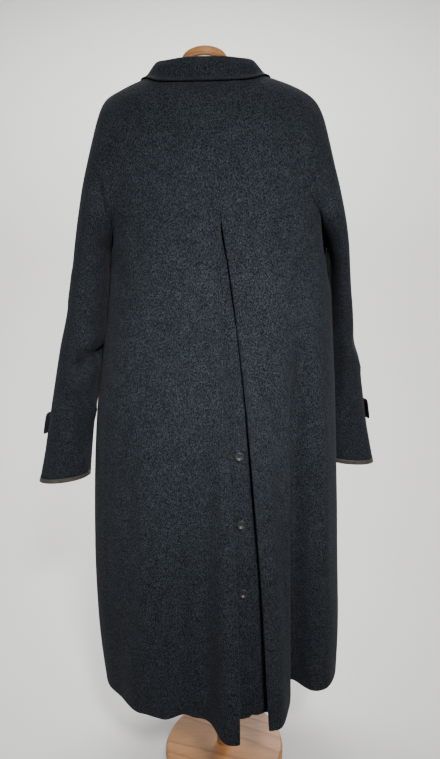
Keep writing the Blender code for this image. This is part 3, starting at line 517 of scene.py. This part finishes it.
def smoothed(node, levels):
    """Finer mesh on a CAD solid's form, with soft but definite edges."""
    bm = bmesh.new()
    bm.from_mesh(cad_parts[node].data)
    bmesh.ops.remove_doubles(bm, verts=bm.verts, dist=0.00002)
    bmesh.ops.join_triangles(bm, faces=bm.faces, angle_face_threshold=math.radians(40),
                             angle_shape_threshold=math.radians(70))
    met = sewn_shut(bm, node)
    binding = node.startswith("cuff_binding")
    if binding:
        side = node.rsplit("_", 1)[1]
        sleeve = tree_over(["sleeve_" + side])
        rise = (Vector(ARM_AXES[side][1]) - Vector(ARM_AXES[side][2])).normalized()
        for vert in bm.verts:
            if sleeve.find_nearest(vert.co)[3] < SEAM_REACH * 1.5:
                vert.co += rise * BINDING_WRAP
    crease = bm.edges.layers.float.get("crease_edge") or bm.edges.layers.float.new("crease_edge")
    rims = set()
    for face in bm.faces:
        thin = [e for e in face.edges if WALL_MIN < e.calc_length() < WALL_MAX]
        if len(face.edges) == 4 and len(thin) == 2:
            if not set(thin[0].verts) & set(thin[1].verts):
                rims.add(face)
    for edge in bm.edges:
        faces = edge.link_faces
        if met.issuperset(edge.verts):
            edge[crease] = SEAM_CREASE
        elif len(faces) == 2 and (binding or (faces[0] in rims) != (faces[1] in rims)):
            if edge.calc_face_angle(0) > math.radians(50):
                edge[crease] = 0.9 if binding else HEM_CREASE
    mesh = bpy.data.meshes.new(node + "_rough")
    bm.to_mesh(mesh)
    bm.free()
    rough = bpy.data.objects.new(node + "_rough", mesh)
    bpy.context.scene.collection.objects.link(rough)
    subd = rough.modifiers.new("Smooth", "SUBSURF")
    subd.levels = subd.render_levels = levels
    seen = bpy.context.evaluated_depsgraph_get()
    fine = bpy.data.meshes.new_from_object(rough.evaluated_get(seen))
    bpy.data.objects.remove(rough)
    bpy.data.meshes.remove(mesh)
    fine.name = node + "_cloth"
    return fine


def arm_axis(side, z):
    """Point on the middle line of a sleeve at height z."""
    line = ARM_AXES[side]
    if z >= line[0][2]:
        return Vector(line[0])
    for top, low in zip(line, line[1:]):
        if z >= low[2]:
            return Vector(low).lerp(Vector(top), (z - low[2]) / (top[2] - low[2]))
    return Vector(line[-1])


def crease_height(point, where):
    """Height of all creases of one region at a point."""
    total = 0.0
    for region, start, end, width, height in CREASES:
        if region != where:
            continue
        a, b = Vector(start), Vector(end)
        run = (b - a) * Vector((1, 0, 1))
        share = min(1.0, max(0.0, (point - a).dot(run) / run.length_squared))
        away = (point - (a + run * share)) * Vector((1, 0, 1))
        far = away.length / width
        if far > 3:
            continue
        mid = 0.0 if where == "body" else arm_axis(where.split("_")[0], point.z).y
        facing = (point.y - mid) * math.copysign(1, a.y - mid)
        fade = smooth(share / 0.3) * smooth((facing + 0.010) / 0.030)
        if end[2] > 0.26:
            fade *= smooth((1 - share) / 0.3)
        total += height * fade * math.exp(-far * far)
    return total


def body_shift(point):
    """How the finished cloth lies off the plain solid on the body."""
    wave = bpy.context.scene.coat.wave
    out = Vector((point.x * 0.55, point.y, 0)).normalized()
    calm = smooth((1.43 - point.z) / 0.14)
    slow = noise.noise(Vector((point.x * 6, point.y * 6, point.z * 2.1)))
    fine = noise.noise(Vector((point.x * 19 + 5, point.y * 19, point.z * 6.5)))
    height = wave * (slow + 0.34 * fine) * (0.25 + 0.75 * calm)
    return out * (height + crease_height(point, "body") * calm)


def arm_shift(side, point):
    """How the finished cloth lies off the plain solid on a sleeve."""
    wave = bpy.context.scene.coat.wave
    out = (point - arm_axis(side, point.z)) * Vector((1, 1, 0))
    out.normalize()
    slow = noise.noise(Vector((point.x * 9 + 3, point.y * 9, point.z * 7)))
    fine = noise.noise(Vector((point.x * 22, point.y * 22 + 7, point.z * 15)))
    calm = smooth((point.z - 0.66) / 0.05)
    height = wave * (0.9 * slow + 0.45 * fine) * (0.3 + 0.7 * calm)
    return out * (height + crease_height(point, side + "_arm"))


def cloth_shift(node, point):
    """Shift of a point of the named piece."""
    side = next((s for s in SIDES if node.endswith(s)), None)
    if node.startswith("cuff"):
        return arm_shift(side, point)
    if node.startswith("vent_underlay"):
        drop = sum(math.exp(-((point.x - between(edge, point.z)) / VENT_DROP_WIDTH) ** 2)
                   for edge in (LEFT_FLAP, RIGHT_FLAP))
        return body_shift(point) - Vector((0, VENT_DROP * min(1.0, drop), 0))
    if not node.startswith("sleeve"):
        return body_shift(point)
    free = smooth((ARM_STARTS_Z - point.z) / (ARM_STARTS_Z - ARM_FREE_Z))
    return body_shift(point).lerp(arm_shift(side, point), free)


def cloth_piece(node, material):
    """Cloth shell on a CAD solid's form."""
    mesh = smoothed(node, bpy.context.scene.coat.smoothness)
    for vert in mesh.vertices:
        vert.co += cloth_shift(node, vert.co)
    piece = link_piece(node + "_cloth", mesh, material)
    mesh.set_sharp_from_angle(angle=math.radians(62))
    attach(piece, "root")
    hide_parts(node)


def declare_sheets():
    """Walk the flat cuts of the pieces of cloth; nothing is done with them."""
    for node, width, length, area in FLAT_SIZES:
        if node.startswith(("sleeve", "back", "front")):
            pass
        elif node.startswith("cuff"):
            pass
        else:
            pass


def tree_of(piece):
    """Search tree over a finished piece, for laying thread on it."""
    bm = bmesh.new()
    bm.from_mesh(piece.data)
    tree = BVHTree.FromBMesh(bm)
    bm.free()
    return tree


def stitches(name, runs, length, gap, thick, lift, material):
    """One mesh of short raised stitches along runs of (point, normal) on cloth."""
    bm = bmesh.new()
    for run in runs:
        travelled, target = 0.0, 0.0
        for (p0, n0), (p1, n1) in zip(run, run[1:]):
            step = (p1 - p0).length
            while step > 0 and target <= travelled + step:
                share = (target - travelled) / step
                at = p0.lerp(p1, share)
                up = n0.lerp(n1, share).normalized()
                way = (p1 - p0).normalized()
                side = up.cross(way).normalized()
                turn = Matrix((side, way, side.cross(way))).transposed().to_4x4()
                stretch = Matrix.Diagonal((thick, length, thick * 0.8, 1))
                place = Matrix.Translation(at + up * lift) @ turn @ stretch
                bmesh.ops.create_icosphere(bm, subdivisions=1, radius=0.5, matrix=place)
                target += length + gap
            travelled += step
    if not bm.verts:
        raise RuntimeError(name + " has no stitches")
    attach(from_bmesh(name, bm, material), "root")


def laid(tree, points):
    """Points moved to the nearest cloth, with the cloth's normals."""
    run = []
    for point in points:
        place, normal, _, _ = tree.find_nearest(point)
        if place is not None:
            run.append((place, normal.copy()))
    return run


class COAT_OT_stage(bpy.types.Operator):
    """Pale seamless floor, soft lights and the camera"""
    bl_idname = "coat.stage"
    bl_label = "Stage and Camera"

    def execute(self, context):
        settings = context.scene.stage
        n = Nodes("studio_paper")
        paper = n.ramp(n.noise(0.7, 2.0), ((0.3, tuple(c * 0.98 for c in settings.paper)),
                                           (0.7, tuple(settings.paper))))
        material = n.finish(paper, Roughness=0.9, Specular_IOR_Level=0.1)
        bm = bmesh.new()
        flat = WALL_R - COVE_R
        line = [bm.verts.new((0.0001, 0, 0)), bm.verts.new((flat, 0, 0))]
        for k in range(1, COVE_STEPS + 1):
            a = math.pi / 2 * k / COVE_STEPS
            line.append(bm.verts.new((flat + COVE_R * math.sin(a), 0,
                                      COVE_R - COVE_R * math.cos(a))))
        line.append(bm.verts.new((WALL_R, 0, WALL_TOP_Z)))
        edges = [bm.edges.new(pair) for pair in zip(line, line[1:])]
        bmesh.ops.spin(bm, geom=line + edges, cent=(0, 0, 0), axis=(0, 0, 1), dvec=(0, 0, 0),
                       angle=2 * math.pi, steps=96, use_merge=True)
        bmesh.ops.remove_doubles(bm, verts=bm.verts, dist=0.001)
        bmesh.ops.recalc_face_normals(bm, faces=bm.faces)
        floor = from_bmesh("studio_floor", bm, material)
        for name, place, target, size, spread in LIGHTS:
            self.light(name + "_light", place, target, size, getattr(settings, name), spread)
        world = bpy.data.worlds.new("room")
        world.use_nodes = True
        sky = world.node_tree.nodes["Background"]
        sky.inputs["Color"].default_value = (0.93, 0.96, 1.0, 1)
        sky.inputs["Strength"].default_value = settings.room
        context.scene.world = world
        lens = CAMERA_FOCAL_PX / FRAME_LONG_PX * SENSOR_MM
        data = bpy.data.cameras.new("photo_camera")
        data.lens, data.sensor_width, data.sensor_fit = lens, SENSOR_MM, "AUTO"
        camera = bpy.data.objects.new("photo_camera", data)
        context.scene.collection.objects.link(camera)
        pitch, roll = math.radians(CAMERA_PITCH), math.radians(CAMERA_ROLL)
        level, rise = Vector((-1, 0, 0)), Vector((0, -math.sin(pitch), math.cos(pitch)))
        ahead = Vector((0, -math.cos(pitch), -math.sin(pitch)))
        right = level * math.cos(roll) - rise * math.sin(roll)
        up = rise * math.cos(roll) + level * math.sin(roll)
        camera.matrix_world = (Matrix.Translation(CAMERA_AT)
                               @ Matrix((right, up, -ahead)).transposed().to_4x4())
        context.scene.camera = camera
        return {"FINISHED"}

    def light(self, name, place, target, size, power, spread):
        data = bpy.data.lights.new(name, "AREA")
        data.shape, data.size, data.energy = "DISK", size, power
        data.spread = math.radians(spread)
        lamp = bpy.data.objects.new(name, data)
        bpy.context.scene.collection.objects.link(lamp)
        lamp.location = place
        lamp.rotation_euler = (Vector(target) - Vector(place)).to_track_quat("-Z", "Y").to_euler()


class COAT_OT_body(bpy.types.Operator):
    """Backs, fronts, vent underlays and collar in fulled wool"""
    bl_idname = "coat.body"
    bl_label = "Body and Collar"

    def execute(self, context):
        for node in BODY_CLOTH:
            cloth_piece(node, loden())
        return {"FINISHED"}


class COAT_OT_sleeves(bpy.types.Operator):
    """Raglan sleeves with their tabs and leather-bound ends"""
    bl_idname = "coat.sleeves"
    bl_label = "Sleeves"

    def execute(self, context):
        for side in SIDES:
            cloth_piece("sleeve_" + side, loden())
            # The tabs' wool is 6% darker than the rest: painted shade on the tabs.
            cloth_piece("cuff_tab_" + side, loden("fulled_wool_tab", 0.94))
            cloth_piece("cuff_binding_" + side, leather())
        declare_sheets()
        return {"FINISHED"}


def turned_mesh(name, profile, steps, tilt=0.0, centre=(0, 0, 0)):
    """Bmesh of a turned piece from a profile of radius and height."""
    bm = bmesh.new()
    verts = [bm.verts.new((r, 0, z)) for r, z in profile]
    edges = [bm.edges.new(pair) for pair in zip(verts, verts[1:])]
    bmesh.ops.spin(bm, geom=verts + edges, cent=(0, 0, 0), axis=(0, 0, 1), dvec=(0, 0, 0),
                   angle=2 * math.pi, steps=steps, use_merge=True)
    bmesh.ops.remove_doubles(bm, verts=bm.verts, dist=0.00001)
    bmesh.ops.recalc_face_normals(bm, faces=bm.faces)
    turn = Matrix.Translation(centre) @ Matrix.Rotation(tilt, 4, "X")
    bmesh.ops.transform(bm, matrix=turn, verts=bm.verts)
    return bm


def button_mesh(radius):
    """Four-hole button of one size with a raised rim, lying on the ground plane."""
    name = "button_%d" % round(radius * 20000)
    found = bpy.data.meshes.get(name)
    if found:
        return found
    profile = [(r * radius, h * BUTTON_THICK) for r, h in BUTTON_PROFILE]
    whole = from_bmesh("button_blank", turned_mesh("button", profile, 48), horn())
    bm = bmesh.new()
    for k in range(4):
        turn = math.pi / 4 + math.pi / 2 * k
        place = Matrix.Translation((math.cos(turn) * radius * HOLE_OUT,
                                    math.sin(turn) * radius * HOLE_OUT, 0))
        bmesh.ops.create_cone(bm, cap_ends=True, segments=14, radius1=radius * HOLE_R,
                              radius2=radius * HOLE_R, depth=4 * BUTTON_THICK, matrix=place)
    drill = from_bmesh("button_drill", bm, horn())
    cut = whole.modifiers.new("Holes", "BOOLEAN")
    cut.operation, cut.object, cut.solver = "DIFFERENCE", drill, "EXACT"
    seen = bpy.context.evaluated_depsgraph_get()
    made = bpy.data.meshes.new_from_object(whole.evaluated_get(seen))
    made.name = name
    for obj in (whole, drill):
        mesh = obj.data
        bpy.data.objects.remove(obj)
        bpy.data.meshes.remove(mesh)
    made.materials.clear()
    made.materials.append(horn())
    made.shade_smooth()
    made.set_sharp_from_angle(angle=math.radians(45))
    return made


def seat_of(node):
    """Middle of a CAD button's back, its radius and the way it faces."""
    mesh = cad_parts[node].data
    centre = sum((v.co for v in mesh.vertices), Vector()) / len(mesh.vertices)
    radius = max((v.co - centre).length for v in mesh.vertices)
    back = max(mesh.polygons,
               key=lambda f: sum(g.area for g in mesh.polygons if g.normal.dot(f.normal) > 0.9995))
    face = -back.normal
    return centre + face * face.dot(back.center - centre), radius, face


def button_piece(node, bm_thread):
    """Finished button in a CAD button's place, moved with the cloth under it."""
    middle, radius, face = seat_of(node)
    shift = cloth_shift(node, middle)
    side = face.cross(Vector((0, 0, 1))).normalized()
    turn = Matrix((side, face.cross(side).normalized(), face)).transposed().to_4x4()
    place = Matrix.Translation(middle + shift) @ turn
    mesh = button_mesh(radius * 0.985).copy()
    mesh.name = node + "_horn"
    mesh.transform(place)
    piece = bpy.data.objects.new(node + "_horn", mesh)
    bpy.context.scene.collection.objects.link(piece)
    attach(piece, "root")
    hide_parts(node)
    for k in range(2):
        bar = (Matrix.Translation((0, 0, BUTTON_THICK * 0.55))
               @ Matrix.Rotation(math.pi / 4 + math.pi / 2 * k, 4, "Z")
               @ Matrix.Rotation(math.pi / 2, 4, "Y"))
        bmesh.ops.create_cone(bm_thread, cap_ends=True, segments=8, radius1=THREAD_R,
                              radius2=THREAD_R, depth=radius * HOLE_OUT * 2.3,
                              matrix=place @ bar)


class COAT_OT_buttons(bpy.types.Operator):
    """Dark horn buttons of the vent, the fronts and the cuff tabs"""
    bl_idname = "coat.buttons"
    bl_label = "Buttons"

    def execute(self, context):
        bm = bmesh.new()
        nodes = sorted(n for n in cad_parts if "button" in n)
        for node in nodes:
            button_piece(node, bm)
        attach(from_bmesh("button_thread", bm, thread()), "root")
        return {"FINISHED"}


class COAT_OT_stitching(bpy.types.Operator):
    """Topstitching of collar, flaps, placket, raglan seams and the pleat's tack"""
    bl_idname = "coat.stitching"
    bl_label = "Stitching"

    def execute(self, context):
        length = context.scene.coat.stitch
        sewing = thread()
        collar = tree_of(bpy.data.objects["collar_cloth"])
        edge = self.collar_edge(collar)
        stitches("collar_topstitch", [edge], length, 0.0012, 0.0008, 0.0001, sewing)
        backs = {side: tree_of(bpy.data.objects["back_%s_cloth" % side]) for side in SIDES}
        upper = tree_of(bpy.data.objects["vent_underlay_left_cloth"])
        runs = [self.down(backs["left"], LEFT_FLAP, FLAP_STITCH_IN),
                self.down(backs["right"], RIGHT_FLAP, -FLAP_STITCH_IN),
                self.down(upper, PLACKET, PLACKET_STITCH_IN)]
        stitches("vent_topstitch", runs, length, 0.0014, 0.0006, 0.0, sewing)
        runs = [self.raglan(side, face) for side in SIDES for face in ("back", "front")]
        stitches("raglan_topstitch", runs, length, 0.0018, 0.0005, -0.0001, sewing)
        tack = [self.behind(backs[side], Vector((x, 0, PLEAT_APEX_Z + up)))
                for side, x, up in TACKS]
        stitches("pleat_tack", [[t for t in tack if t]], 0.0022, 0.0002, 0.0011, 0.0003,
                 thread("tack_thread", (0.0090, 0.0105, 0.0125)))
        return {"FINISHED"}

    def behind(self, tree, point):
        """Outer face of the cloth straight behind a point, with its normal."""
        place, normal, _, _ = tree.ray_cast(Vector((point.x, 0.5, point.z)), Vector((0, -1, 0)))
        return (place, normal) if place is not None else None

    def down(self, tree, line, inset):
        """Run of places down an edge, a little way in from it."""
        run = []
        top, low = max(row[0] for row in line), min(row[0] for row in line)
        steps = int((top - low) / 0.01)
        for k in range(steps + 1):
            z = top - 0.012 - (top - low - 0.024) * k / steps
            hit = self.behind(tree, Vector((between(line, z) + inset, 0, z)))
            if hit:
                run.append(hit)
        return run

    def inward(self, tree, z, out):
        """What a ray meets at height z on its way in to the middle of the neck."""
        return tree.ray_cast(Vector((0, 0, z)) + out * OUTSIDE, -out)

    def collar_edge(self, tree):
        """Run round the fall of the collar, just above its lower edge."""
        run = []
        for degrees in COLLAR_TURNS:
            turn = math.radians(degrees)
            out = Vector((math.sin(turn), math.cos(turn), 0))
            heights = (COLLAR_LOW_Z + 0.001 * k for k in range(COLLAR_SEARCH))
            low = next((z for z in heights if self.inward(tree, z, out)[0] is not None), None)
            if low is None:
                continue
            place, normal, _, _ = self.inward(tree, low + COLLAR_STITCH_UP, out)
            if place is not None and normal.dot(out) > 0:
                run.append((place, normal))
        return run

    def raglan(self, side, face):
        """Run on the sleeve's side of a raglan seam."""
        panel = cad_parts["%s_%s" % (face, side)].data
        sleeve = tree_over(["sleeve_" + side])
        seam = sorted((v.co.copy() for v in panel.vertices
                       if v.co.z > ARM_STARTS_Z and sleeve.find_nearest(v.co)[3] < SEAM_REACH),
                      key=lambda p: p.z)
        points = []
        for low, high in zip(seam, seam[1:]):
            if (high - low).length > SEAM_STEP:
                away = Vector((math.copysign(SEAM_STITCH_IN, low.x),
                               math.copysign(SEAM_STITCH_OUT, low.y), 0))
                points += [low.lerp(high, t) + away for t in (0.0, 0.5)]
        return laid(tree_of(bpy.data.objects["sleeve_%s_cloth" % side]), points)


class COAT_OT_stand(bpy.types.Operator):
    """Covered torso and neck of the dress form, its turned cap, pole and base"""
    bl_idname = "coat.stand"
    bl_label = "Form and Stand"

    def execute(self, context):
        for node in ("form_torso", "form_neck"):
            bm = bmesh.new()
            bm.from_mesh(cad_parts[node].data)
            bmesh.ops.remove_doubles(bm, verts=bm.verts, dist=0.00002)
            sharp = [e for e in bm.edges if e.calc_face_angle(0) > math.radians(50)]
            bmesh.ops.bevel(bm, geom=sharp, offset=0.003, affect="EDGES", segments=3,
                            profile=0.5, material=-1)
            piece = from_bmesh(node + "_cover", bm, linen())
            self.declare(piece, node, "form_cover")
        cap = [(0.0, CAP_THICK)] + self.rounded(CAP_R, CAP_THICK, 0.0042)
        cap += [(r, CAP_THICK - z) for r, z in reversed(self.rounded(CAP_R, CAP_THICK, 0.0024))]
        piece = from_bmesh("neck_cap_wood",
                           turned_mesh("cap", cap + [(0.0, 0.0)], 72, math.radians(CAP_TILT),
                                       (0, 0, CAP_TOP_Z - CAP_THICK)),
                           pine("cap_pine", (0.02, 0.35, -1.45), (0.25, 0.1, 0.5), (9, 22, 22)))
        self.declare(piece, "neck_cap", "stand_wood")
        base = [(0.0, BASE_THICK)] + self.rounded(BASE_R, BASE_THICK, BASE_EDGE)
        base += [(r, BASE_THICK - z) for r, z in reversed(self.rounded(BASE_R, BASE_THICK, 0.002))]
        piece = from_bmesh("stand_base_wood", turned_mesh("base", base + [(0.0, 0.0)], 128),
                           pine("base_pine", (0.10, -0.10, 0.13), (0.06, 0.10, 0.75), (7, 15, 15)))
        self.declare(piece, "stand_base", "stand_wood")
        low, high = BASE_THICK + FORM_GAP, FORM_BOTTOM_Z - FORM_GAP
        pole = [(0.0, high), (POLE_R - 0.001, high), (POLE_R, high - 0.001), (POLE_R, low + 0.001),
                (POLE_R - 0.001, low), (0.0, low)]
        piece = from_bmesh("stand_pole_wood", turned_mesh("pole", pole, 48),
                           pine("pole_pine", (0.05, 0.05, 0.0), (1.5, 0.03, 0.0), (3, 24, 24)))
        self.declare(piece, "stand_pole", "stand_wood")
        return {"FINISHED"}

    def rounded(self, radius, top, edge):
        """Quarter round from the flat top to the side, as radius and height."""
        return [(radius - edge + edge * math.sin(a), top - edge + edge * math.cos(a))
                for a in (math.pi / 2 * k / 6 for k in range(7))]

    def declare(self, piece, node, slot):
        piece.data.set_sharp_from_angle(angle=math.radians(50))
        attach(piece, "root")
        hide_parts(node)


class COAT_PT_panel(bpy.types.Panel):
    """Lists the pieces of the coat and their settings"""
    bl_idname = "COAT_PT_panel"
    bl_label = "Coat"
    bl_space_type = "VIEW_3D"
    bl_region_type = "UI"
    bl_category = "Coat"

    def draw(self, context):
        scene = context.scene
        for title, settings in (("Coat", scene.coat), ("Form and stand", scene.stand),
                                ("Stage", scene.stage)):
            box = self.layout.box()
            box.label(text=title)
            for name in settings.bl_rna.properties.keys():
                if name not in ("rna_type", "name"):
                    box.prop(settings, name)
        for operator in OPERATORS:
            self.layout.operator(operator.bl_idname)


OPERATORS = (COAT_OT_stage, COAT_OT_body, COAT_OT_sleeves, COAT_OT_buttons, COAT_OT_stitching,
             COAT_OT_stand)
CLASSES = (CoatSettings, StandSettings, StageSettings, *OPERATORS, COAT_PT_panel)


def register():
    for cls in CLASSES:
        bpy.utils.register_class(cls)
    bpy.types.Scene.coat = bpy.props.PointerProperty(type=CoatSettings)
    bpy.types.Scene.stand = bpy.props.PointerProperty(type=StandSettings)
    bpy.types.Scene.stage = bpy.props.PointerProperty(type=StageSettings)


def unregister():
    for name in ("coat", "stand", "stage"):
        delattr(bpy.types.Scene, name)
    for cls in reversed(CLASSES):
        bpy.utils.unregister_class(cls)


def main():
    """Register and make every piece in order."""
    register()
    bpy.ops.coat.stage()
    bpy.ops.coat.body()
    bpy.ops.coat.sleeves()
    bpy.ops.coat.buttons()
    bpy.ops.coat.stitching()
    bpy.ops.coat.stand()


if __name__ == "__main__":
    main()
